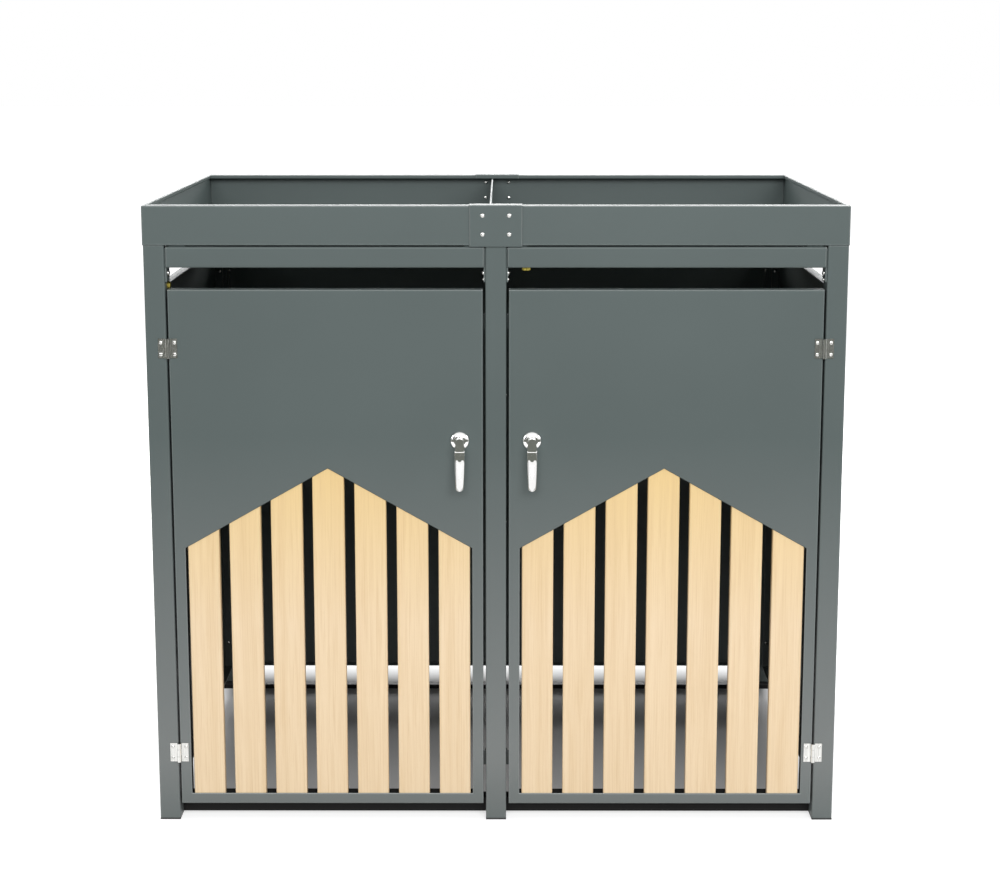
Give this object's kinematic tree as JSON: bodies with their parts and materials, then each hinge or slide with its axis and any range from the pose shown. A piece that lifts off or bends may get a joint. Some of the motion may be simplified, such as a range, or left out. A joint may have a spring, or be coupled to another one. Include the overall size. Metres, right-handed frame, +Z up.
{
  "type": "wheelie bin store",
  "caption": "Double wheelie bin store in folded steel with slatted doors, gabled cut-outs, turning lever latches and planter trays on top.",
  "frame": {"origin": "middle of the bounding box, on the ground under the end caps", "axes": "+X to the right across the two doors, +Y from the door side to the back, +Z up"},
  "size_m": [1.34, 0.8676, 1.2265],
  "materials": {
    "powder_coat": "satin powder coat",
    "black_coat": "satin black powder coat",
    "slat_wood": "planed and pale, lightly oiled",
    "stainless": "brushed",
    "chrome": "polished",
    "black_plastic": "moulded",
    "zinc": "zinc plated"
  },
  "bodies": {
    "frame": {"post_front_left": "powder_coat", "post_front_middle": "powder_coat", "post_front_right": "powder_coat", "post_rear_left": "powder_coat", "post_rear_middle": "powder_coat", "post_rear_right": "powder_coat", "post_end_caps": "black_plastic", "front_rail_left": "powder_coat", "front_rail_right": "powder_coat", "rear_rail_left": "powder_coat", "rear_rail_right": "powder_coat", "side_rail_left": "powder_coat", "side_rail_right": "powder_coat", "side_panel_left": "powder_coat", "side_panel_right": "powder_coat", "rear_panel_left": "powder_coat", "rear_panel_right": "powder_coat", "planter_tray_left": "powder_coat", "planter_tray_right": "powder_coat", "tray_pads": "powder_coat", "tray_joint_plates": "powder_coat", "front_sill": "black_coat", "rear_sill": "black_coat", "door_stops": "powder_coat", "hinge_frame_leaves": "stainless"},
    "left_door": {"left_door_sheet": "powder_coat", "left_slat_frame": "powder_coat", "left_slat_1": "slat_wood", "left_slat_2": "slat_wood", "left_slat_3": "slat_wood", "left_slat_4": "slat_wood", "left_slat_5": "slat_wood", "left_slat_6": "slat_wood", "left_slat_7": "slat_wood", "left_hinge_leaves": "stainless", "left_latch_rose": "chrome", "left_latch_nut": "zinc"},
    "right_door": {"right_door_sheet": "powder_coat", "right_slat_frame": "powder_coat", "right_slat_1": "slat_wood", "right_slat_2": "slat_wood", "right_slat_3": "slat_wood", "right_slat_4": "slat_wood", "right_slat_5": "slat_wood", "right_slat_6": "slat_wood", "right_slat_7": "slat_wood", "right_hinge_leaves": "stainless", "right_latch_rose": "chrome", "right_latch_nut": "zinc"},
    "left_handle": {"left_lever": "chrome", "left_cam": "zinc"},
    "right_handle": {"right_lever": "chrome", "right_cam": "zinc"}
  },
  "joints": [
    {"name": "left_door_hinge", "type": "hinge", "parent": "frame", "child": "left_door", "pos_m": [-0.627, -0.40075, 0], "axis": [0, 0, -1], "range_deg": [0, 170]},
    {"name": "right_door_hinge", "type": "hinge", "parent": "frame", "child": "right_door", "pos_m": [0.627, -0.40075, 0], "axis": [0, 0, 1], "range_deg": [0, 170]},
    {"name": "left_handle_turn", "type": "hinge", "parent": "left_door", "child": "left_handle", "pos_m": [-0.0695, -0.39675, 0.772], "axis": [0, 1, 0], "range_deg": [0, 90]},
    {"name": "right_handle_turn", "type": "hinge", "parent": "right_door", "child": "right_handle", "pos_m": [0.0695, -0.39675, 0.772], "axis": [0, -1, 0], "range_deg": [0, 90]}
  ]
}
